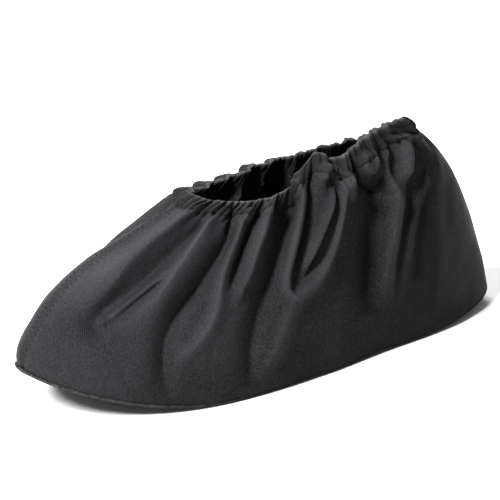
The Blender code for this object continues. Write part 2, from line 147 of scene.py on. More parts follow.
# Folds. Depth is a share of the fold depth, out where positive and in where negative. Toeward
# and heelward are the breadths on its two sides, as shares of the fold breadth, and crisp is 0
# for a soft fold and 1 for a crease. The path is a list of places: a round and a height, both in
# thousandths, and the strength of the fold there, where that isn't 1.
FOLD_COLUMNS = ("depth", "toeward", "heelward", "crisp", "path")
PLACE_UNITS = (1000.0, 1000.0, 1.0)
LEFT_FOLDS = {
    "upper ridge": (0.55, 1.7, 0.5, 0.0, ((72, 1000, 0.5), (66, 900, 0.9), (60, 800), (58, 620),
        (62, 540), (64, 470, 0.8), (62, 400, 0.5), (60, 340, 0.0))),
    "toe valley": (-0.75, 1.0, 0.55, 0.1, ((118, 1000, 0.4), (117, 880, 0.9), (112, 700),
        (107, 600), (101, 510), (91, 440), (83, 385), (82, 350, 0.9), (90, 322, 0.8),
        (103, 315, 0.6), (115, 330, 0.3), (122, 350, 0.0))),
    "toe thumb": (0.35, 0.45, 0.35, 0.0, ((150, 640, 0.0), (140, 580, 0.7), (128, 520), (117, 460),
        (107, 405), (99, 360, 0.8), (96, 310, 0.0))),
    "toe crease": (-0.26, 0.2, 0.2, 1.0, ((150, 580, 0.0), (138, 530, 0.9), (130, 490), (124, 455),
        (117, 410, 0.8), (109, 365, 0.0))),
    "toe ridge": (0.90, 0.5, 1.1, 0.1, ((112, 1000, 0.5), (120, 900), (142, 795), (152, 680),
        (156, 605), (157, 550), (155, 470, 0.8), (145, 400, 0.4), (130, 330, 0.0))),
    "first valley": (-1.00, 0.95, 0.45, 0.5, ((200, 1000, 0.3), (218, 850, 0.35), (229, 760, 0.8),
        (229, 700), (226, 620), (222, 525), (215, 470), (211, 410), (212, 320, 0.9),
        (216, 250, 0.85), (222, 180, 0.75), (230, 100, 0.5), (235, 30, 0.0))),
    "second ridge": (0.75, 0.45, 0.8, 0.2, ((205, 1000, 0.5), (214, 915, 0.9), (238, 795),
        (246, 710), (258, 580, 0.9), (267, 495, 0.9), (274, 430, 0.9), (272, 355, 0.9),
        (262, 290, 0.8), (247, 230, 0.5), (234, 170, 0.0))),
    "second valley": (-0.75, 0.5, 0.4, 0.5, ((262, 1000, 0.5), (268, 920, 0.9), (274, 800),
        (280, 680), (282, 600, 0.8), (285, 540, 0.4), (289, 490, 0.0))),
    "third ridge": (0.75, 0.8, 0.4, 0.2, ((305, 1000, 0.5), (312, 925, 0.9), (322, 830), (320, 650),
        (322, 570, 0.9), (318, 500, 0.6), (315, 400, 0.0))),
    "third valley": (-1.35, 1.15, 0.6, 0.5, ((390, 1000, 0.4), (391, 900, 0.8), (391, 735),
        (390, 630), (386, 510, 0.95), (382, 445, 0.85), (379, 365, 0.75), (376, 295, 0.7),
        (374, 205, 0.6), (375, 120, 0.5), (377, 30, 0.0))),
    "hairpin ridge": (0.72, 0.5, 0.55, 0.1, ((412, 1000, 0.4), (422, 910, 0.9), (438, 835),
        (440, 745), (432, 665), (425, 590), (418, 510), (418, 445), (423, 405), (440, 368),
        (462, 370), (485, 395), (505, 445), (521, 510), (535, 580), (547, 650), (560, 720),
        (569, 810), (574, 900, 0.6), (574, 1000, 0.3))),
    "hairpin valley": (-0.80, 0.35, 0.5, 0.5, ((458, 1000, 0.4), (462, 880, 0.9), (464, 810),
        (465, 745), (462, 675), (458, 610), (450, 545, 0.9), (443, 485, 0.7), (439, 445, 0.4),
        (437, 415, 0.0))),
    "hairpin inner ridge": (0.60, 0.72, 0.18, 0.1, ((542, 860, 0.0), (536, 795, 0.7), (525, 735),
        (507, 650), (492, 575), (479, 515, 0.9), (467, 465, 0.5), (460, 435, 0.0))),
    "hairpin crease": (-0.42, 0.14, 0.18, 1.0, ((556, 830, 0.0), (549, 785, 0.7), (534, 725),
        (516, 640), (499, 555), (484, 490, 0.9), (474, 440, 0.5), (467, 420, 0.0))),
    "low ridge": (0.42, 0.5, 0.8, 0.0, ((446, 375, 0.0), (443, 345, 0.6), (437, 310, 0.9),
        (430, 270), (414, 165, 0.9), (402, 110, 0.6), (390, 50, 0.0))),
    "fourth valley": (-1.15, 2.2, 0.5, 0.75, ((708, 800, 0.0), (702, 760, 0.7), (696, 725),
        (681, 655), (667, 570), (656, 480), (647, 390), (640, 300, 0.9), (638, 215, 0.5),
        (638, 165, 0.0))),
    "fourth ridge": (0.60, 0.6, 1.4, 0.0, ((736, 780, 0.0), (732, 725, 0.8), (724, 670), (712, 600),
        (690, 490), (670, 390), (652, 290, 0.8), (642, 220, 0.4), (638, 170, 0.0))),
    "heel valley": (-0.38, 0.9, 0.35, 0.2, ((785, 740, 0.0), (775, 660, 0.8), (754, 590),
        (731, 510), (708, 405, 0.9), (693, 320, 0.5), (683, 250, 0.0))),
    "heel ridge": (0.26, 0.35, 0.9, 0.1, ((845, 720, 0.0), (835, 705, 0.7), (806, 645), (775, 590),
        (748, 510), (722, 405, 0.9), (705, 320, 0.7), (692, 235, 0.4), (688, 190, 0.0))),
    "heel hollow": (-0.25, 0.6, 0.6, 0.0, ((840, 670, 0.0), (815, 610, 0.6), (790, 550), (757, 430),
        (742, 310, 0.6), (735, 240, 0.0))),
    "heel corner ridge": (0.14, 0.6, 1.1, 0.0, ((925, 780, 0.0), (912, 740, 0.7), (880, 680),
        (845, 605), (824, 500), (812, 400), (795, 250, 0.9), (783, 150, 0.6), (772, 40, 0.0))),
    "heel band": (0.50, 0.7, 0.6, 0.0, ((752, 960, 0.0), (746, 890, 0.8), (726, 820), (716, 710),
        (720, 640, 0.5), (724, 590, 0.0))),
    "heel band crease": (-0.50, 0.35, 0.35, 0.8, ((628, 860, 0.0), (640, 830), (668, 760),
        (702, 700, 0.7), (714, 670, 0.0))),
    "puff crease": (-0.55, 0.3, 0.3, 0.8, ((616, 970, 0.2), (627, 910), (640, 850), (641, 800, 0.5),
        (638, 750, 0.0))),
    "knob crease": (-0.30, 0.3, 0.3, 0.8, ((704, 980, 0.2), (713, 920), (724, 870, 0.8),
        (728, 830, 0.0))),
    "finger": (0.65, 0.7, 0.5, 0.0, ((556, 980, 0.2), (566, 930, 0.9), (580, 880), (590, 830))),
    "heel lobe": (1.10, 1.3, 0.7, 0.0, ((850, 950, 0.2), (835, 900, 0.9), (814, 850), (794, 800),
        (779, 765))),
    "heel lip": (0.34, 0.35, 0.4, 0.1, ((752, 945, 0.0), (780, 930, 0.8), (830, 905),
        (890, 875, 0.9), (940, 850, 0.0))),
    "heel tuck": (-0.38, 0.35, 0.35, 0.6, ((760, 975, 0.0), (790, 955, 0.9), (840, 930),
        (890, 905, 0.9), (935, 880, 0.0))),
    "heel pucker": (-0.25, 0.35, 0.35, 0.6, ((800, 1000, 0.3), (825, 975), (870, 955),
        (915, 930, 0.4), (930, 920, 0.0))),
    "toe crumple": (-0.80, 0.35, 0.35, 0.7, ((150, 1000, 0.4), (165, 950), (185, 900),
        (202, 840, 0.9), (212, 790, 0.0))),
    "strand": (0.42, 0.3, 0.3, 0.2, ((488, 960, 0.0), (498, 930, 0.8), (532, 910), (556, 870),
        (568, 810, 0.5), (571, 770, 0.0))),
}
RIGHT_FOLDS = {
    "toe valley": (-0.80, 1.5, 0.8, 0.2, ((70, 1000, 0.5), (72, 820), (82, 600), (90, 420, 0.6),
        (94, 330, 0.0))),
    "toe ridge": (0.65, 0.6, 0.9, 0.1, ((112, 1000, 0.5), (120, 840), (138, 620), (148, 460, 0.5),
        (152, 360, 0.0))),
    "first valley": (-1.20, 0.7, 0.9, 0.5, ((160, 1000, 0.5), (178, 820), (184, 600),
        (180, 360, 0.9), (172, 180, 0.5), (168, 80, 0.0))),
    "second ridge": (0.70, 0.6, 0.7, 0.2, ((214, 1000, 0.5), (228, 820), (230, 600),
        (224, 400, 0.7), (216, 260, 0.0))),
    "second valley": (-0.75, 0.5, 0.6, 0.6, ((262, 1000, 0.5), (274, 820), (272, 620),
        (264, 500, 0.5), (260, 420, 0.0))),
    "third ridge": (0.65, 0.5, 0.8, 0.1, ((300, 1000, 0.5), (316, 800), (318, 580), (312, 420, 0.6),
        (305, 300, 0.0))),
    "third valley": (-1.25, 0.7, 0.9, 0.5, ((352, 1000, 0.5), (371, 840), (372, 600),
        (362, 360, 0.9), (352, 160, 0.6), (346, 40, 0.0))),
    "fourth ridge": (0.70, 0.5, 0.9, 0.2, ((410, 1000, 0.5), (428, 820), (428, 600),
        (414, 420, 0.7), (402, 280, 0.0))),
    "fourth valley": (-0.85, 0.5, 0.6, 0.6, ((460, 1000, 0.5), (478, 820), (474, 620),
        (460, 480, 0.6), (450, 380, 0.0))),
    "fifth ridge": (0.70, 0.6, 0.9, 0.1, ((512, 1000, 0.5), (528, 800), (524, 560), (506, 360, 0.7),
        (494, 220, 0.0))),
    "fifth valley": (-1.20, 0.7, 1.1, 0.5, ((574, 1000, 0.4), (588, 800), (582, 540),
        (566, 300, 0.9), (556, 140, 0.4), (552, 60, 0.0))),
    "sixth ridge": (0.75, 0.6, 1.0, 0.1, ((640, 960, 0.3), (652, 780), (642, 540), (626, 360, 0.6),
        (614, 240, 0.0))),
    "sixth valley": (-0.65, 0.6, 0.8, 0.3, ((700, 960, 0.3), (706, 780), (694, 600, 0.9),
        (680, 440, 0.0))),
    "heel ridge": (0.50, 0.6, 1.0, 0.1, ((772, 900, 0.2), (762, 720), (742, 500), (722, 320, 0.5),
        (714, 200, 0.0))),
    "heel valley": (-0.45, 0.8, 0.6, 0.1, ((826, 840, 0.0), (816, 680), (796, 500, 0.8),
        (780, 360, 0.0))),
    "heel corner ridge": (0.32, 0.6, 1.0, 0.1, ((890, 760, 0.0), (874, 580), (856, 400, 0.7),
        (846, 260, 0.0))),
}
FOLDS = {"left": LEFT_FOLDS, "right": RIGHT_FOLDS}
# What is left of a fold at the rim, and the height where the hem starts to press it flat.
FOLD_AT_RIM = 0.36
HEM_PRESS_START = 0.84
# Folds are narrower towards the rim, where the cloth is gathered, to this share of their breadth.
BREADTH_AT_RIM = 0.50
# The rounds next to the toe and heel seams over which folds fade out.
SEAM_FADE = 0.05
# How much the tip of a crease is rounded, and how steeply its sides fall off.
CREASE_ROUNDING = 0.25
CREASE_STEEPNESS = 1.4

# Puffs of cloth that stand out over the drawn-in hem. Round and height of the middle, half
# breadth, half height and depth.
PUFF_COLUMNS = ("round", "height", "half_breadth", "half_height", "depth")
PUFFS = {
    "left": (
        (0.600, 0.825, 0.0058, 0.0095, 0.0030),
        (0.670, 0.878, 0.0078, 0.0088, 0.0062),
        (0.300, 0.905, 0.0042, 0.0060, 0.0028),
        (0.240, 0.900, 0.0040, 0.0055, 0.0026),
        (0.405, 0.905, 0.0040, 0.0065, 0.0028),
        (0.500, 0.900, 0.0042, 0.0060, 0.0028),
    ),
    "right": (
        (0.235, 0.900, 0.0050, 0.0080, 0.0028),
        (0.430, 0.890, 0.0055, 0.0090, 0.0032),
        (0.530, 0.880, 0.0058, 0.0100, 0.0034),
        (0.655, 0.850, 0.0066, 0.0120, 0.0040),
        (0.780, 0.830, 0.0080, 0.0130, 0.0040),
    ),
}
# How steep a puff's edge is and how flat its top, and the step in height that finds its way up.
PUFF_STEEPNESS = 1.15
PUFF_FLATNESS = 0.7
PUFF_STEP = 0.02

# Gathers that the elastic draws up: their pitch along the rim, their depth and how far below
# the hem they reach. The finest ones ruffle the hem itself.
GATHER_COLUMNS = ("pitch", "depth", "reach")
GATHERS = (
    (0.0036, 0.0009, 0.006),
    (0.0078, 0.0015, 0.015),
    (0.0150, 0.0013, 0.034),
)
# How the gathers drift along the rim, and how their depth and reach change: turns and size.
GATHER_CHANGES = ((14.0, 0.012), (31.0, 0.7), (23.0, 0.8))
# The section of a gather, with broad crests and narrow creases.
CREST_HEIGHT, CREST_SOFTNESS, CREST_POWER, CREST_LEVEL = 2.0, 0.03, 0.8, 1.25
RIM_RUFFLE = 0.00064
RUFFLE_TURNS = 60.0
# How far the pushes turn level up the hem, so that its upper edge stays even, from 0 to 1.
RIM_LEVEL = 0.7
# Seeds of the noise, so that nothing varies in step with anything else.
WANDER_SEED = 8.0
PUFF_SEED = 2.0
RUFFLE_SEED = 5.0
GATHER_SEED = 3.7
SIDE_SEED = 11.0

# Soft unevenness of the cloth: the size of its swells and their depth.
SWELLS = ((0.034, 0.0010), (0.013, 0.00035))

# Stitches along the hem and beside the seams, and the groove that they draw into the hem's foot.
STITCH_PITCH = 0.0031
STITCH_LENGTH = 0.0023
STITCH_RADIUS = 0.00024
STITCH_RISE = 0.3 * STITCH_RADIUS
STITCH_SIDES = 6
STITCH_GROOVE = 0.0006
STITCH_GROOVE_BREADTH = 0.0011
# The rounds without stitches at each end of the hem, the distance of the stitches beside a seam,
# the rounds in which they are looked for, and their heights on the panel's grid.
STITCH_MARGIN = 2
SEAM_STITCH_OFFSET = 0.0030
SEAM_STITCH_ROUNDS = 24
SEAM_STITCH_HEIGHTS = range(4, PANEL_HEIGHTS - 2, 2)

# Raised dots under the sole: their pitch, radius, height and how far they keep from its edge.
DOT_PITCH = 0.0062
DOT_RADIUS = 0.0014
DOT_HEIGHT = 0.0004
DOT_MARGIN = 0.0035
DOT_SIDES = 8
DOT_COLUMNS = 9
# The steps of a dot's crown: the depth below which faces are pulled down and how far, as shares
# of the dot's height, and how much they narrow.
DOT_CROWN = ((0.45, 0.3, 0.8), (0.75, 0.2, 0.55))
SLOPE_STEP = 0.001


def smooth_step(value):
    value = np.clip(value, 0.0, 1.0)
    return value * value * (3.0 - 2.0 * value)


def unit(vectors):
    return vectors / np.maximum(np.linalg.norm(vectors, axis=-1, keepdims=True), 1e-12)


def read_rows(rows, key, column, at):
    """A column of a table, read along its key column with smooth curves between the rows."""
    x, y = np.array(rows[key], float), np.array(rows[column], float)
    slope = np.gradient(y, x)
    i = np.clip(np.searchsorted(x, at) - 1, 0, len(x) - 2)
    step = x[i + 1] - x[i]
    s = (at - x[i]) / step
    start = y[i] * (1 + 2 * s) * (1 - s) ** 2 + slope[i] * step * s * (1 - s) ** 2
    end = y[i + 1] * s * s * (3 - 2 * s) + slope[i + 1] * step * s * s * (s - 1)
    return start + end


def run_length(path):
    """The length along a path, or along each row of a grid, up to each of its points."""
    steps = np.linalg.norm(np.diff(path, axis=-2), axis=-1)
    return np.concatenate([np.zeros_like(steps[..., :1]), np.cumsum(steps, axis=-1)], axis=-1)


def half_oval(length, half_width, squareness):
    """Half an oval from its front end to its back end: the share of its own arc, x and y."""
    angle = np.linspace(0.0, np.pi, CURVE_STEPS + 1)
    c, s = np.cos(angle), np.sin(angle)
    x = -0.5 * length * np.sign(c) * np.abs(c) ** (2.0 / squareness)
    y = half_width(x / length + 0.5) * np.abs(s) ** (2.0 / squareness)
    arc = run_length(np.stack([x, y], -1))
    return arc / arc[-1], x, y, arc[-1]


def sole_half_width(along):
    ball = read_rows(SOLE_ROWS, "along", "ball", along) * BALL_WIDTH
    heel = read_rows(SOLE_ROWS, "along", "heel", along) * HEEL_WIDTH
    return 0.5 * (ball + heel)


def sole_lift(x):
    """How far the sole's underside is off the floor."""
    along = x / LENGTH + 0.5
    toe = np.clip(1.0 - along / TOE_LIFT_END, 0.0, 1.0)
    heel = np.clip((along - HEEL_LIFT_START) / (1.0 - HEEL_LIFT_START), 0.0, 1.0)
    return TOE_LIFT * toe**2 + HEEL_LIFT * heel**2


def sole_edge(rounds):
    arc, x, y, _ = half_oval(LENGTH, sole_half_width, SOLE_SQUARENESS)
    return np.interp(rounds, arc, x), np.interp(rounds, arc, y)


def foot_line(rounds):
    """The lower edge of a panel, just above the sole's edge."""
    x, y = sole_edge(rounds)
    return np.stack([x, y, sole_lift(x) + SOLE_THICKNESS + SEAM_GAP], -1)


def mouth_half_width(along):
    return np.full_like(along, 0.5 * MOUTH_WIDTH)


def rim_line(rounds, side):
    """The upper edge of the hem on one side of the mouth."""
    arc, x, y, _ = half_oval(MOUTH_LENGTH, mouth_half_width, MOUTH_SQUARENESS)
    lift = read_rows(RIM_ROWS, "round", side, rounds)
    x = np.interp(rounds, arc, x) + MOUTH_SHIFT
    y = np.interp(rounds, arc, y) * read_rows(RIM_ROWS, "round", "breadth", rounds)
    return np.stack([x, y, FRONT_HEIGHT + lift * (BACK_HEIGHT - FRONT_HEIGHT)], -1)


def outward(rounds):
    """Level directions that point away from the sole's edge."""
    step = 1.0 / CURVE_STEPS
    x0, y0 = sole_edge(np.clip(rounds - step, 0.0, 1.0))
    x1, y1 = sole_edge(np.clip(rounds + step, 0.0, 1.0))
    away = np.stack([y0 - y1, x1 - x0, 0.0 * x0], -1)
    away[rounds <= 0.0] = (-1.0, 0.0, 0.0)
    away[rounds >= 1.0] = (1.0, 0.0, 0.0)
    return unit(away)


def wall_curves(rounds, side):
    """The four control points of each round's curve from the sole to the rim."""
    foot, rim = foot_line(rounds), rim_line(rounds, side)
    tall, away = (rim - foot)[:, 2:], outward(rounds)
    rise, lean, pull, shoulder = (
        read_rows(WALL_ROWS, "round", column, rounds)[:, None]
        for column in ("rise", "lean", "pull", "shoulder")
    )
    low = foot + rise * tall * (np.array([0.0, 0.0, 1.0]) + lean * away)
    high = rim + pull * tall * unit(low - rim) + shoulder * tall * away
    return foot, low, high, rim


def along_curves(curves, heights):
    """Points on the curves. Heights is a grid, rounds x heights, as every grid here is."""
    foot, low, high, rim = (points[:, None] for points in curves)
    h = heights[:, :, None]
    lower = foot * (1 - h) ** 3 + 3 * low * (1 - h) ** 2 * h
    return lower + 3 * high * (1 - h) * h**2 + rim * h**3


def round_way(points):
    """The way round the cover at each point. The first and last rounds lie on the seams."""
    mirrored = points * np.array([1.0, -1.0, 1.0])
    padded = np.concatenate([mirrored[1:2], points, mirrored[-2:-1]])
    return unit(padded[2:] - padded[:-2])


def normals(points):
    """Outward directions of a grid of points."""
    return unit(np.cross(np.gradient(points, axis=1), round_way(points)))


def smooth_path(places):
    """A dense run of places through the given ones, on a Catmull-Rom curve."""
    knots = np.array(places, float)
    padded = np.concatenate([2 * knots[:1] - knots[1:2], knots, 2 * knots[-1:] - knots[-2:-1]])
    runs = []
    for a, b, c, d in zip(padded, padded[1:], padded[2:], padded[3:]):
        t = np.linspace(0.0, 1.0, PATH_STEPS + 1)[:-1, None]
        bend = (2 * a - 5 * b + 4 * c - d) * t**2 + (3 * b - a - 3 * c + d) * t**3
        runs.append(0.5 * (2 * b + (c - a) * t + bend))
    return np.concatenate(runs + [knots[-1:]])


def fold_push(points, out, heights, side, fold):
    """How far one fold pushes each point of the smooth wall out, in shares of the fold depth."""
    run = smooth_path([(*place, 1.0)[:3] for place in fold["path"]] / np.array(PLACE_UNITS))
    spots = along_curves(wall_curves(run[:, 0], side), run[:, 1:2])[:, 0]
    way = unit(np.gradient(spots, axis=0))
    flat = points.reshape(-1, 3)
    squares = (flat**2).sum(1)[:, None] + (spots**2).sum(1) - 2.0 * flat @ spots.T
    near = squares.argmin(1)
    away = flat - spots[near]
    along = (away * way[near]).sum(1, keepdims=True) * way[near]
    inside = (near > 0) & (near < len(spots) - 1)
    away = away - along * inside[:, None]
    aside = -(np.cross(out.reshape(-1, 3), way[near]) * unit(away)).sum(1) * way_down(way, near)
    heelward = smooth_step(0.5 + 0.5 * aside)
    breadth = (fold["toeward"] + (fold["heelward"] - fold["toeward"]) * heelward) * FOLD_BREADTH
    breadth = breadth * (1.0 - (1.0 - BREADTH_AT_RIM) * smooth_step(heights.reshape(-1)) ** 2)
    across = np.linalg.norm(away, axis=1) / breadth
    soft = np.exp(-(across**2))
    sharp = np.exp(CREASE_ROUNDING - np.hypot(CREASE_ROUNDING, CREASE_STEEPNESS * across))
    shape = soft + (sharp - soft) * fold["crisp"]
    strength = np.clip(run[near, 2], 0.0, 1.0)
    return (fold["depth"] * strength * shape).reshape(heights.shape)


def way_down(way, near):
    """1 where the path runs down the wall and -1 where it runs up."""
    return np.where(way[near, 2] < 0.0, 1.0, -1.0)


def seam_fade(rounds):
    return smooth_step(rounds / SEAM_FADE) * smooth_step((1.0 - rounds) / SEAM_FADE)


def folds(points, out, rounds, heights, side):
    """How far all the folds push the wall out, in metres."""
    push = np.zeros_like(heights)
    for row in FOLDS[side].values():
        push += fold_push(points, out, heights, side, dict(zip(FOLD_COLUMNS, row)))
    pressed = smooth_step((heights - HEM_PRESS_START) / (1.0 - HEM_PRESS_START))
    push *= 1.0 - (1.0 - FOLD_AT_RIM) * pressed
    return FOLD_DEPTH * push * seam_fade(rounds)[:, None]


def puffs(points, side):
    """Puffs of cloth: they rise steeply at their edge and are round on top."""
    push = np.zeros(points.shape[:2])
    for row in PUFFS[side]:
        puff = dict(zip(PUFF_COLUMNS, row))
        curves = wall_curves(np.array([puff["round"]]), side)
        ends = np.array([[puff["height"], puff["height"] - PUFF_STEP]])
        middle, below = along_curves(curves, ends)[0]
        up = unit(middle - below)
        away = points - middle
        rise = away @ up
        across = np.sqrt(np.maximum((away**2).sum(2) - rise**2, 0.0))
        spread = np.hypot(across / puff["half_breadth"], rise / puff["half_height"])
        push += puff["depth"] * smooth_step((1.0 - spread**2) * PUFF_STEEPNESS) ** PUFF_FLATNESS
    return push


def waver(values, turns, seed):
    """A slow wandering between about -1 and 1."""
    return np.array([noise.noise(Vector((v * turns, seed, 0.5 * seed))) for v in values])


def gathers(rounds, below, side):
    """The puckers that the elastic draws up. Below is the distance under the hem's foot."""
    rim_length = half_oval(MOUTH_LENGTH, mouth_half_width, MOUTH_SQUARENESS)[3]
    push = np.zeros_like(below)
    for number, row in enumerate(GATHERS):
        gather = dict(zip(GATHER_COLUMNS, row))
        seed = GATHER_SEED * number + SIDE_SEED * SIDES[side]
        drift, deeper, longer = (
            size * waver(rounds, turns, seed + step)
            for step, (turns, size) in enumerate(GATHER_CHANGES)
        )
        wave = np.cos(np.pi * round(rim_length / gather["pitch"]) * (rounds + drift))
        crest = CREST_HEIGHT * np.sqrt(wave**2 + CREST_SOFTNESS) ** CREST_POWER - CREST_LEVEL
        reach = gather["reach"] * (1.0 + longer)
        fade = smooth_step(1.0 - below / reach[:, None])
        depth = gather["depth"] * crest * (1.0 + deeper) * seam_fade(rounds)
        push += depth[:, None] * fade
    return push


def swells(points, seed):
    """Soft unevenness all over the cloth."""
    push = np.zeros(points.shape[:2])
    for size, depth in SWELLS:
        flat = points.reshape(-1, 3) / size
        noises = [noise.noise(Vector((x, y + seed, z))) for x, y, z in flat]
        push += depth * np.array(noises).reshape(push.shape)
    return push


def knuckle(rounds, heights):
    near = np.exp(-((rounds / KNUCKLE_ROUNDS) ** 2))[:, None]
    bends = [
        depth * np.exp(-(((heights - middle) / half) ** 2)) for middle, half, depth in KNUCKLE
    ]
    return near * sum(bends)


def cloth_side(side):
    """The outer face of one side, panel and hem, at +Y: points, ways through, push and uv."""
    even = np.linspace(0.0, 1.0, ROUNDS + 1)
    rounds = even - SEAM_CROWDING * np.sin(2.0 * np.pi * even) / (2.0 * np.pi)
    curves = wall_curves(rounds, side)
    fine = np.linspace(0.0, 1.0, WALL_STEPS + 1)
    arc = run_length(along_curves(curves, np.tile(fine, (len(rounds), 1))))
    tall = arc[:, -1:]
    wander = HEM_WANDER * waver(rounds, HEM_WANDER_TURNS, WANDER_SEED + SIDES[side])
    depth = HEM_DEPTH + (wander * seam_fade(rounds))[:, None]
    panel = (tall - depth) * np.linspace(0.0, 1.0, PANEL_HEIGHTS + 1)
    hem = tall - depth + depth * np.linspace(0.0, 1.0, HEM_PROFILE + 1)[1:]
    risen = np.concatenate([panel, hem], axis=1)
    heights = np.array([np.interp(row, length, fine) for row, length in zip(risen, arc)])
    points = along_curves(curves, heights)
    out = normals(points)
    below = tall - depth - risen
    out[:, :, 2] *= 1.0 - RIM_LEVEL * smooth_step(-below / depth)
    out = unit(out)
    push = folds(points, out, rounds, heights, side)
    push += puffs(points, side) * seam_fade(rounds)[:, None]
    push += gathers(rounds, below, side)
    push += swells(points, SIDES[side]) * seam_fade(rounds)[:, None]
    push += knuckle(rounds, heights)
    for seam in (points[:1], points[-1:]):
        reach = np.linalg.norm(points - seam, axis=2)
        push -= SEAM_GROOVE * np.exp(-((reach / SEAM_GROOVE_BREADTH) ** 2))
    push -= STITCH_GROOVE * np.exp(-((below / STITCH_GROOVE_BREADTH) ** 2))
    outer = points + push[:, :, None] * out
    foot_arc = half_oval(LENGTH, sole_half_width, SOLE_SQUARENESS)[3]
    uv = np.stack([np.broadcast_to(rounds[:, None] * foot_arc, risen.shape), risen], -1)
    return {"outer": outer, "out": out, "push": push, "uv": uv, "rounds": rounds}


def new_piece(name, points, faces, uv=None, join=0.0, **values):
    """A smooth mesh object from points and faces, with its cloth map and values at its points.
    Points closer than join become one."""
    mesh = bpy.data.meshes.new(name)
    mesh.from_pydata([tuple(p) for p in points], [], faces)
    mesh.validate()
    if uv is not None:
        corners = np.empty(len(mesh.loops), np.int32)
        mesh.loops.foreach_get("vertex_index", corners)
        layer = mesh.uv_layers.new(name="cloth")
        layer.data.foreach_set("uv", uv[corners].astype(np.float32).ravel())
    for key, value in values.items():
        attribute = mesh.attributes.new(key, "FLOAT", "POINT")
        attribute.data.foreach_set("value", value.astype(np.float32))
    piece = bpy.data.objects.new(name, mesh)
    bpy.context.scene.collection.objects.link(piece)
    bm = bmesh.new()
    bm.from_mesh(mesh)
    if join:
        bmesh.ops.remove_doubles(bm, verts=bm.verts, dist=join)
    bmesh.ops.recalc_face_normals(bm, faces=bm.faces)
    bm.to_mesh(mesh)
    bm.free()
    bpy.ops.object.select_all(action="DESELECT")
    piece.select_set(True)
    bpy.context.view_layer.objects.active = piece
    bpy.ops.object.shade_smooth_by_angle(angle=np.radians(SMOOTH_ANGLE))
    return piece


def grid_faces(rows, columns, start):
    """Quads between the points of a grid that are numbered from start, row by row."""
    first = start + np.arange(rows - 1)[:, None] * columns + np.arange(columns - 1)
    return np.stack([first, first + 1, first + columns + 1, first + columns], -1).reshape(-1, 4).tolist()


def edge_faces(fine, coarse):
    """Faces between an edge of the outer face and the same edge of the inner one."""
    faces = []
    for k in range(len(coarse) - 1):
        a, b, c = fine[2 * k], fine[2 * k + 1], fine[2 * k + 2]
        d, e = coarse[k], coarse[k + 1]
        faces += [(a, b, d), (b, e, d), (b, c, e)]
    return faces


def stacked(*grids):
    """The points of several grids, one grid after the other."""
    return np.concatenate([grid.reshape(-1, *grid.shape[2:]) for grid in grids])


def side_cloth(side, cloth):
    """A side panel: a fine outer face, an inner face half as fine, and the edges between."""
    outer, out, uv, push = (
        cloth[key][:, : PANEL_HEIGHTS + 1] for key in ("outer", "out", "uv", "push")
    )
    inner = (outer - CLOTH * out)[::2, ::2]
    inner[:, 0, 2] = outer[::2, 0, 2] - FOOT_TUCK
    count = outer.shape[0] * outer.shape[1]
    numbers = np.arange(count).reshape(outer.shape[:2])
    inner_numbers = count + np.arange(inner.shape[0] * inner.shape[1]).reshape(inner.shape[:2])
    faces = grid_faces(*outer.shape[:2], 0) + grid_faces(*inner.shape[:2], count)
    for edge in (0, -1, np.s_[:, 0], np.s_[:, -1]):
        faces += edge_faces(numbers[edge], inner_numbers[edge])
    points = stacked(outer, inner)
    points[:, 1] = np.maximum(points[:, 1], 0.0)
    seams = [grid[end] for grid in (numbers, inner_numbers) for end in (0, -1)]
    points[np.concatenate(seams), 1] = -SEAM_LAP
    points[:, 1] *= SIDES[side]
    uv, push = (stacked(values, values[::2, ::2]) for values in (uv, push))
    return new_piece(f"{side}_cloth", points, faces, uv, fold=push)


def evened(push):
    """The same pushes with the finest gathers smoothed out along the rounds."""
    reach = HEM_BACK_ROUNDS
    padded = np.concatenate([push[reach:0:-1], push, push[-2 : -reach - 2 : -1]])
    return np.mean([padded[k : k + len(push)] for k in range(2 * reach + 1)], axis=0)


def gathered_hem(cloths):
    """The folded hem, a flat tube right round the mouth that the elastic draws into ruffles."""
    risen = np.linspace(0.0, 1.0, HEM_PROFILE + 1)
    swell = 0.5 * (HEM_THICKNESS - CLOTH) * np.sqrt(1.0 - (2.0 * risen - 1.0) ** 2)
    bands = []
    for side, cloth in cloths.items():
        sign, rounds = SIDES[side], cloth["rounds"]
        flatter = HEM_BACK_EVEN * (evened(cloth["push"]) - cloth["push"])[:, PANEL_HEIGHTS:]
        outer, out, uv, push = (
            cloth[key][:, PANEL_HEIGHTS:] for key in ("outer", "out", "uv", "push")
        )
        bulge = swell * (1.0 + HEM_PUFF * waver(rounds, HEM_PUFF_TURNS, PUFF_SEED + sign))[:, None]
        ruffle = RIM_RUFFLE * waver(rounds, RUFFLE_TURNS, RUFFLE_SEED * sign)
        faces = []
        for shift in (bulge, flatter - CLOTH - bulge):
            face = (outer + shift[:, :, None] * out) * np.array([1.0, sign, 1.0])
            face[:, :, 2] += ruffle[:, None] * smooth_step(risen)
            faces.append(face)
        section = np.concatenate([faces[0], faces[1][:, ::-1]], axis=1)
        flat = np.concatenate([uv, 2.0 * uv[:, -1:] - uv[:, ::-1]], axis=1)
        bands.append((section, flat, np.concatenate([push, push[:, ::-1]], axis=1)))
    ring, flat, push = (np.concatenate([one[:-1], other[:0:-1]]) for one, other in zip(*bands))
    rounds, profile = ring.shape[:2]
    first = np.arange(rounds)[:, None] * profile + np.arange(profile)
    right, up = np.roll(first, -1, axis=0), np.roll(first, -1, axis=1)
    faces = np.stack([first, up, np.roll(up, -1, axis=0), right], -1).reshape(-1, 4).tolist()
    # The top rows of the hem carry a painted highlight.
    top = np.abs(np.arange(profile) - 0.5 * (profile - 1))
    edge = np.broadcast_to(np.exp(-((top / HEM_HIGHLIGHT_ROWS) ** 2)), (rounds, profile))
    values = {"fold": push.ravel(), "edge": edge.ravel()}
    return new_piece("gathered_hem", stacked(ring), faces, stacked(flat), **values)


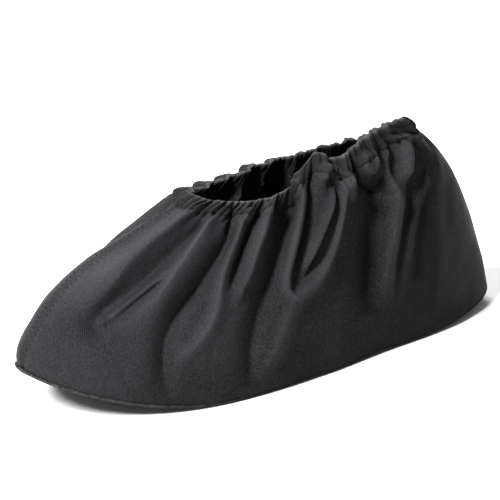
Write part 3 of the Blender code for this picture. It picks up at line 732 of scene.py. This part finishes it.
def sole_cloth():
    """The sole: two faces of coarse cloth with a rounded edge."""
    rounds = np.linspace(0.0, 1.0, SOLE_STATIONS + 1)
    x, y = sole_edge(rounds)
    lip = TOE_LIP * smooth_step((-x / LENGTH - TOE_LIP_START) / TOE_LIP_WAY)
    x, y = x + lip * outward(rounds)[:, 0], y + lip * outward(rounds)[:, 1]
    edge = np.stack([np.concatenate([x, x[-2:0:-1]]), np.concatenate([y, -y[-2:0:-1]])], -1)
    low, high = SPINE_ENDS
    spine = np.stack([np.clip(edge[:, 0], low * LENGTH, high * LENGTH), 0.0 * edge[:, 1]], -1)
    points = []
    count = len(edge)
    shares = [(share, 1.0) for share in reversed(SOLE_RINGS)]
    shares += [(share, -1.0) for share in SOLE_RINGS]
    half = 0.5 * (SOLE_THICKNESS - DOT_HEIGHT)
    for share, face in shares:
        flat = spine + share * (edge - spine)
        inset = np.linalg.norm(edge - flat, axis=1)
        round_off = np.sqrt(np.clip(1.0 - (1.0 - np.clip(inset / half, 0.0, 1.0)) ** 2, 0.0, 1.0))
        z = sole_lift(flat[:, 0]) + DOT_HEIGHT + half + face * half * round_off
        points.append(np.concatenate([flat, z[:, None]], axis=1))
    points = np.concatenate(points)
    faces = []
    for ring in range(len(shares) - 1):
        if shares[ring][0] == shares[ring + 1][0]:
            continue
        a = ring * count + np.arange(count)
        b = ring * count + (np.arange(count) + 1) % count
        faces += np.stack([a, b, b + count, a + count], -1).tolist()
    return new_piece("sole_cloth", points, faces, join=JOIN_REACH)


def pull_out(piece, wanted, move, size):
    """Extrudes the faces whose middle is wanted, moves them and then scales them."""
    bpy.ops.object.mode_set(mode="EDIT")
    bpy.ops.mesh.select_mode(type="FACE")
    bpy.ops.mesh.select_all(action="DESELECT")
    bpy.ops.object.mode_set(mode="OBJECT")
    for face in piece.data.polygons:
        face.select = wanted(face.center)
    bpy.ops.object.mode_set(mode="EDIT")
    bpy.ops.mesh.extrude_region_move(TRANSFORM_OT_translate={"value": move})
    bpy.ops.transform.resize(value=size)
    bpy.ops.object.mode_set(mode="OBJECT")


def cylinder(**shape):
    """A new cylinder with its place and turn taken up in its mesh."""
    bpy.ops.object.select_all(action="DESELECT")
    bpy.ops.mesh.primitive_cylinder_add(**shape)
    bpy.ops.object.transform_apply(location=True, rotation=True, scale=True)
    return bpy.context.object


def one_stitch():
    """A short length of thread that dips into the cloth at both ends, along X."""
    straight = 0.5 * STITCH_LENGTH
    turn = (0.0, 0.5 * np.pi, 0.0)
    stitch = cylinder(vertices=STITCH_SIDES, radius=STITCH_RADIUS, depth=straight, rotation=turn)
    for end in (-1.0, 1.0):
        tip = 0.49 * straight
        move = (end * 0.5 * straight, 0.0, -STITCH_RADIUS)
        pull_out(stitch, lambda middle: middle.x * end > tip, move, (1.0, 0.5, 0.5))
    return stitch


def one_dot():
    """A low rubbery dot that points down."""
    place = (0.0, 0.0, -0.25 * DOT_HEIGHT)
    dot = cylinder(vertices=DOT_SIDES, radius=DOT_RADIUS, depth=0.5 * DOT_HEIGHT, location=place)
    for low, drop, narrow in DOT_CROWN:
        move = (0.0, 0.0, -drop * DOT_HEIGHT)
        pull_out(dot, lambda middle: middle.z < -low * DOT_HEIGHT, move, (narrow, narrow, 1.0))
    return dot


def copies(name, model, spots, along, up):
    """One piece of many copies of a model, which is then removed. X goes along and Z up."""
    along = unit(along)
    across = unit(np.cross(up, along))
    basis = np.stack([along, across, np.cross(along, across)], 1)
    shape = np.array([vertex.co for vertex in model.data.vertices])
    points = spots[:, None] + shape @ basis
    faces = [tuple(face.vertices) for face in model.data.polygons]
    faces = [tuple(k * len(shape) + v for v in face) for k in range(len(spots)) for face in faces]
    bpy.data.objects.remove(model)
    return new_piece(name, stacked(points), faces, twist=np.tile(shape[:, 0], len(spots)))


def evenly(path, ups, pitch):
    """Places on a path at an even pitch, with the ways along it and up from it."""
    arc = run_length(path)
    at = (np.arange(int(arc[-1] / pitch)) + 0.5) * pitch
    spots, up, way = (
        np.stack([np.interp(at, arc, column) for column in values.T], -1)
        for values in (path, ups, np.gradient(path, axis=0))
    )
    return spots, way, unit(up)


def beside_seam(cloth):
    """Paths up a panel beside its toe and heel seams, with the ways out from the cloth."""
    paths = []
    for turn in (slice(None), slice(None, None, -1)):
        outer, out = (cloth[key][turn][:SEAM_STITCH_ROUNDS] for key in ("outer", "out"))
        path, ups = [], []
        for j in SEAM_STITCH_HEIGHTS:
            reach = run_length(outer[:, j])
            for values, found in ((outer, path), (out, ups)):
                columns = values[:, j].T
                found.append([np.interp(SEAM_STITCH_OFFSET, reach, column) for column in columns])
        paths.append((np.array(path), np.array(ups)))
    return paths


def stitching(cloths):
    """Thread along the foot of the hem and beside the toe and heel seams."""
    runs = []
    for side, cloth in cloths.items():
        hem = slice(STITCH_MARGIN, -STITCH_MARGIN)
        paths = [(cloth["outer"][hem, PANEL_HEIGHTS], cloth["out"][hem, PANEL_HEIGHTS])]
        turn = np.array([1.0, SIDES[side], 1.0])
        for path, ups in paths + beside_seam(cloth):
            runs.append(evenly((path + STITCH_RISE * ups) * turn, ups * turn, STITCH_PITCH))
    spots, along, up = (np.concatenate(values) for values in zip(*runs))
    return copies("stitching", one_stitch(), spots, along, up)


def sole_dots():
    """Dots in staggered rows over the sole's underside."""
    rows = np.arange(-0.5 * LENGTH, 0.5 * LENGTH, DOT_PITCH * np.sqrt(0.75))
    spots = []
    for number, x in enumerate(rows):
        columns = np.arange(-DOT_COLUMNS, DOT_COLUMNS + 1) + 0.5 * (number % 2)
        spots += [(x, y * DOT_PITCH, 0.0) for y in columns]
    spots = np.array(spots)
    room = sole_half_width(np.clip(spots[:, 0] / LENGTH + 0.5, 0.0, 1.0))
    s = np.abs(2.0 * spots[:, 0] / LENGTH)
    oval = np.maximum(1.0 - s**SOLE_SQUARENESS, 0.0) ** (1.0 / SOLE_SQUARENESS)
    keep = (np.abs(spots[:, 1]) < room * oval - DOT_MARGIN) & (s < 1.0 - 2.0 * DOT_MARGIN / LENGTH)
    spots = spots[keep]
    ahead, behind = sole_lift(spots[:, 0] + SLOPE_STEP), sole_lift(spots[:, 0] - SLOPE_STEP)
    slope = (ahead - behind) / (2.0 * SLOPE_STEP)
    spots[:, 2] = sole_lift(spots[:, 0]) + DOT_HEIGHT
    along = np.stack([np.ones_like(slope), 0.0 * slope, slope], -1)
    up = np.stack([-slope, 0.0 * slope, np.ones_like(slope)], -1)
    return copies("sole_dots", one_dot(), spots, along, up)


def main_pieces():
    cloths = {side: cloth_side(side) for side in SIDES}
    panels = {side: side_cloth(side, cloths[side]) for side in SIDES}
    hem = gathered_hem(cloths)
    sole = sole_cloth()
    return panels, hem, sole, stitching(cloths), sole_dots()


class Socket:
    """A shader socket that takes part in Python expressions. Each operator adds a Math node."""

    def __init__(self, maker, output):
        self.maker = maker
        self.output = output

    def math(self, operation, *others):
        return self.maker.node("Math", {"operation": operation}, [self, *others])

    def __add__(self, other):
        return self.math("ADD", other)

    __radd__ = __add__

    def __sub__(self, other):
        return self.math("SUBTRACT", other)

    def __rsub__(self, other):
        return self.maker.node("Math", {"operation": "SUBTRACT"}, [other, self])

    def __mul__(self, other):
        return self.math("MULTIPLY", other)

    def sine(self):
        return self.math("SINE")

    def wave(self):
        """The sine, brought between 0 and 1."""
        return self.sine() * 0.5 + 0.5

    def absolute(self):
        return self.math("ABSOLUTE")

    def clamp(self):
        return self.maker.node("Clamp", {}, [self])


class Finish:
    """A material and its nodes. Constants go straight on the shader's sockets."""

    def __init__(self, name, constants):
        self.material = bpy.data.materials.new(name)
        self.material.use_nodes = True
        self.tree = self.material.node_tree
        self.shader = self.tree.nodes["Principled BSDF"]
        for socket, value in constants.items():
            self.shader.inputs[socket].default_value = value

    def node(self, kind, settings, values, output=0):
        """Adds a node of a kind, sets its settings, then the values or links of its sockets."""
        node = self.tree.nodes.new("ShaderNode" + kind)
        for key, value in settings.items():
            setattr(node, key, value)
        named = values.items() if isinstance(values, dict) else enumerate(values)
        for key, value in named:
            if isinstance(value, Socket):
                self.tree.links.new(value.output, node.inputs[key])
            else:
                node.inputs[key].default_value = value
        return Socket(self, node.outputs[output])

    def feed(self, socket, value):
        self.tree.links.new(value.output, self.shader.inputs[socket])

    def mix(self, share, first, second):
        return self.node("Mix", {"data_type": "RGBA"}, {0: share, 6: first, 7: second}, output=2)

    def attribute(self, name):
        return self.node("Attribute", {"attribute_name": name}, [], output="Fac")

    def place(self):
        """The place on the object itself."""
        return self.node("TexCoord", {}, [], output="Object")

    def split(self, vector):
        """The three numbers of a vector."""
        first = self.node("SeparateXYZ", {}, [vector])
        return [Socket(self, output) for output in first.output.node.outputs]

    def noise(self, place, scale, detail):
        return self.node("TexNoise", {}, {"Vector": place, "Scale": scale, "Detail": detail})

    def bump(self, height, strength):
        values = {"Strength": strength, "Distance": 1.0, "Height": height}
        self.feed("Normal", self.node("Bump", {}, values))


# Colours: red, green, blue and opacity
BLACK = (0.0076, 0.0076, 0.0078, 1.0)
# The lighter end of the cloth's colour: painted light and painted sheen, mixed with the cloth's own wear
# and grain.
SHEEN_AND_WEAR_BLACK = (0.056, 0.055, 0.0600, 1.0)
# The darkest black: painted shade in the cloth's valleys and towards the heel, and the thread's darker
# strands.
DEEP_BLACK = (0.0035, 0.0035, 0.0030, 1.0)
# Painted highlight along the top of the hem.
RIM_HIGHLIGHT_GREY = (0.115, 0.115, 0.118, 1.0)
# The hem's lighter colour: its painted light and painted sheen, mixed with its own wear and grain.
HEM_BLACK = (0.036, 0.036, 0.037, 1.0)
SOLE_GREY = (0.110, 0.108, 0.104, 1.0)
SOLE_DARK = (0.007, 0.007, 0.007, 1.0)
THREAD_BLACK = (0.030, 0.030, 0.031, 1.0)
DOT_GREY = (0.060, 0.060, 0.058, 1.0)
FLOOR_WHITE = (0.92, 0.92, 0.92, 1.0)
WHITE = (1.0, 1.0, 1.0, 1.0)

# Noise: its scale and detail
CLOTH_WANDER = (60.0, 2.0)
CLOTH_CLOUDS = (28.0, 3.0)
CLOTH_SPECKS = (900.0, 1.0)
SOLE_SPECKS = (700.0, 2.0)
DOT_SMUDGES = (90.0, 3.0)

# The weave of the black cloth: its pitch, how much its ribs and threads slant and wander, how much
# of it is ribs, and how deep it and the specks are.
THREAD_PITCH = 0.00115
RIB_SLANT = 0.55
THREAD_SLANTS = (2.0, 0.9)
WEAVE_WANDER = 1.6
RIB_SHARE = 0.7
WEAVE_HEIGHT, SPECK_HEIGHT = 0.00022, 0.00030
GRAIN_SPECKS, GRAIN_WEAVE = 2.2, 0.8
# From the depth of a fold to how far a place counts as a ridge or a valley.
FOLD_GAIN, FOLD_START = 170.0, 0.1
# What makes the black cloth lighter, darker and rough: painted light towards the toe and higher up,
# a painted sheen on ridges, the cloth's own clouds and grain, and painted shade in the valleys and
# towards the heel. Toeward and upward are per metre.
PAINTED_LIGHT_START, PAINTED_LIGHT_TOEWARD, PAINTED_LIGHT_UPWARD = 0.05, 2.1, 2.4
PAINTED_SHEEN_ON_RIDGES, WORN_CLOUDS, WORN_GRAIN = 0.36, 0.5, 0.34
PAINTED_SHADE_IN_VALLEYS, PAINTED_SHADE_HEEL_START, PAINTED_SHADE_HEEL_RISE = 0.36, 0.10, 8.0
ROUGH_START, ROUGH_RIDGES, ROUGH_VALLEYS, ROUGH_GRAIN = 0.44, 0.06, 0.2, 0.10
# How strongly the painted highlight along the top of the hem shows.
RIM_HIGHLIGHT_SHARE = 0.55

# The sole's cloth: its weave, how grey it is, and how that falls off behind the toe in painted shade.
SOLE_THREAD_PITCH = 0.0016
SOLE_WEAVE_HEIGHT, SOLE_SPECK_HEIGHT = 0.0003, 0.0002
SOLE_GREY_START, SOLE_GREY_SPECKS, SOLE_GREY_WEAVE = 0.6, 1.8, 0.3
TOE_GREY_START, TOE_GREY_RISE, BEHIND_TOE_GREY = 0.6, 12.0, 0.25

# The twist of the thread
TWIST_PITCH = 0.0008
TWIST_SLANT = 6000.0
TWIST_HEIGHT = 0.00006


def woven_black(name, sheen_and_wear):
    """Black woven polyester: fine diagonal ribs, a soft sheen, painted light and painted sheen, and
    painted shade.
    """
    finish = Finish(name, {"Specular IOR Level": 0.025})
    u, v, _ = finish.split(finish.node("UVMap", {"uv_map": "cloth"}, []))
    place = finish.place()
    length_way, _, up_way = finish.split(place)
    turns = 2.0 * np.pi / THREAD_PITCH
    wander = (finish.noise(place, *CLOTH_WANDER) - 0.5) * WEAVE_WANDER
    ribs = (u * turns + v * turns * RIB_SLANT + wander).wave()
    threads = (v * turns * THREAD_SLANTS[0] - u * turns * THREAD_SLANTS[1] + wander).wave()
    weave = ribs * RIB_SHARE + threads * (1.0 - RIB_SHARE)
    specks = finish.noise(place, *CLOTH_SPECKS)
    grain = (specks - 0.5) * GRAIN_SPECKS + (weave - 0.5) * GRAIN_WEAVE
    clouds = (finish.noise(place, *CLOTH_CLOUDS) - 0.5) * WORN_CLOUDS
    fold = finish.attribute("fold")
    ridge = (fold * FOLD_GAIN + FOLD_START).clamp()
    valley = (fold * -FOLD_GAIN - FOLD_START).clamp()
    # Painted light: the cloth is lighter towards the toe and higher up, where the key light falls.
    lit = PAINTED_LIGHT_START - length_way * PAINTED_LIGHT_TOEWARD + up_way * PAINTED_LIGHT_UPWARD
    # Ridges get a painted sheen; the clouds and the grain are the cloth's own tone and wear.
    share = (lit + ridge * PAINTED_SHEEN_ON_RIDGES + clouds + grain * WORN_GRAIN).clamp()
    # Painted shade: the cloth is darker in the valleys of its folds and towards the heel.
    deep = valley * PAINTED_SHADE_IN_VALLEYS + (length_way - PAINTED_SHADE_HEEL_START) * PAINTED_SHADE_HEEL_RISE
    colour = finish.mix(share, BLACK, sheen_and_wear)
    colour = finish.mix(deep.clamp(), colour, DEEP_BLACK)
    # Painted highlight along the top of the hem.
    colour = finish.mix(finish.attribute("edge") * RIM_HIGHLIGHT_SHARE, colour, RIM_HIGHLIGHT_GREY)
    rough = ROUGH_START - ridge * ROUGH_RIDGES + valley * ROUGH_VALLEYS - grain * ROUGH_GRAIN
    finish.feed("Base Color", colour)
    finish.feed("Roughness", rough)
    finish.bump(weave * WEAVE_HEIGHT + specks * SPECK_HEIGHT, 0.9)
    return finish.material


def coarse_sole():
    """Grey anti-slip cloth: a coarse weave with small raised specks, lightest at the toe, with painted
    shade behind it.
    """
    finish = Finish("coarse_sole", {"Specular IOR Level": 0.1})
    place = finish.place()
    x, y, z = finish.split(place)
    turns = 2.0 * np.pi / SOLE_THREAD_PITCH
    weave = ((x * turns).sine() * (y * turns + z * turns).sine()).absolute()
    specks = finish.noise(place, *SOLE_SPECKS)
    # Painted shade: the sole is grey at the toe and darker behind it, where shade falls.
    toe = (x * -TOE_GREY_RISE - TOE_GREY_START).clamp()
    grey = (specks * SOLE_GREY_SPECKS - SOLE_GREY_START + weave * SOLE_GREY_WEAVE).clamp()
    share = grey * (BEHIND_TOE_GREY + toe * (1.0 - BEHIND_TOE_GREY))
    finish.feed("Base Color", finish.mix(share, SOLE_DARK, SOLE_GREY))
    finish.feed("Roughness", 0.70 + specks * 0.25)
    finish.bump(weave * SOLE_WEAVE_HEIGHT + specks * SOLE_SPECK_HEIGHT, 0.8)
    return finish.material


def black_thread():
    """Twisted polyester thread, a little glossier than the cloth."""
    finish = Finish("black_thread", {"Roughness": 0.4, "Specular IOR Level": 0.1})
    _, y, z = finish.split(finish.place())
    turned = finish.attribute("twist") * (2.0 * np.pi / TWIST_PITCH)
    strands = (turned + (y + z) * TWIST_SLANT).wave()
    finish.feed("Base Color", finish.mix(strands, DEEP_BLACK, THREAD_BLACK))
    finish.bump(strands * TWIST_HEIGHT, 0.6)
    return finish.material


def rubber_dots():
    """Matt rubbery dots with lighter smudges."""
    finish = Finish("rubber_dots", {"Specular IOR Level": 0.2})
    smudge = finish.noise(finish.place(), *DOT_SMUDGES)
    finish.feed("Base Color", finish.mix(smudge, SOLE_DARK, DOT_GREY))
    finish.feed("Roughness", 0.45 + smudge * 0.3)
    return finish.material


# The key light, broad and even, whose spread is in degrees. Azimuth 0 is in front of the left panel.
KEY_AZIMUTH = -75.0
KEY_ELEVATION = 44.0
KEY_SPREAD = 14.0
KEY_STRENGTH = 5.7
# The square light at the back
BACK_PLACE = Vector((0.3, 1.15, 1.2))
BACK_AIM = Vector((0.0, 0.0, 0.05))
BACK_SIZE = 1.2
BACK_POWER = 32.0
SURROUND_STRENGTH = 0.26
FLOOR_SIZE = 8.0
# The camera. Its focal length is a share of its sensor's width.
CAMERA_AZIMUTH = -34.158
CAMERA_ELEVATION = 20.275
CAMERA_DISTANCE = 1.2516
CAMERA_AIM = Vector((0.0, 0.0, 0.06))
FOCAL_SHARE = 4.4
CAMERA_SHIFT = (-0.0332, 0.0039)


def pale_floor():
    finish = Finish("pale_floor", {"Roughness": 0.9, "Base Color": FLOOR_WHITE})
    bpy.ops.object.select_all(action="DESELECT")
    bpy.ops.mesh.primitive_plane_add(size=FLOOR_SIZE, location=(0.0, 0.0, 0.0))
    floor = bpy.context.object
    floor.name = "floor"
    floor.data.materials.append(finish.material)


def direction(azimuth, elevation):
    """The way towards a place round the cover."""
    turn, rise = np.radians((azimuth, elevation))
    return Vector((np.sin(turn) * np.cos(rise), -np.cos(turn) * np.cos(rise), np.sin(rise)))


def put(name, data, way, place=(0.0, 0.0, 0.0)):
    """Puts a light or a camera in the scene, looking along a way."""
    holder = bpy.data.objects.new(name, data)
    holder.location = place
    holder.rotation_euler = way.to_track_quat("-Z", "Y").to_euler()
    bpy.context.scene.collection.objects.link(holder)
    return holder


def studio():
    """The camera at the photograph's angle, two lights and a white surround."""
    scene = bpy.context.scene
    way = direction(CAMERA_AZIMUTH, CAMERA_ELEVATION)
    camera = bpy.data.cameras.new("camera")
    camera.lens = camera.sensor_width * FOCAL_SHARE
    camera.shift_x, camera.shift_y = CAMERA_SHIFT
    scene.camera = put("camera", camera, -way, CAMERA_AIM + CAMERA_DISTANCE * way)
    key = bpy.data.lights.new("key", "SUN")
    key.energy = KEY_STRENGTH
    key.angle = np.radians(KEY_SPREAD)
    put("key", key, -direction(KEY_AZIMUTH, KEY_ELEVATION))
    back = bpy.data.lights.new("back", "AREA")
    back.shape = "RECTANGLE"
    back.size, back.size_y = BACK_SIZE, BACK_SIZE
    back.energy = BACK_POWER
    put("back", back, BACK_AIM - BACK_PLACE, BACK_PLACE)
    scene.world = bpy.data.worlds.new("surround")
    scene.world.use_nodes = True
    background = scene.world.node_tree.nodes["Background"]
    background.inputs["Color"].default_value = WHITE
    background.inputs["Strength"].default_value = SURROUND_STRENGTH
    scene.view_settings.view_transform = "Standard"


def dress(piece, material, slot, *nodes):
    piece.data.materials.append(material)
    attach(piece, "root")
    if nodes:
        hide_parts(*nodes)


def main():
    panels, hem, sole, stitches, dots = main_pieces()
    black = woven_black("black_cloth", SHEEN_AND_WEAR_BLACK)
    for side, panel in panels.items():
        dress(panel, black, "black_cloth", f"{side}_panel")
    dress(hem, woven_black("black_hem", HEM_BLACK), "black_hem", "elastic_hem")
    dress(sole, coarse_sole(), "grey_sole", "sole")
    dress(stitches, black_thread(), "black_hem")
    dress(dots, rubber_dots(), "grey_sole")
    pale_floor()
    studio()


main()
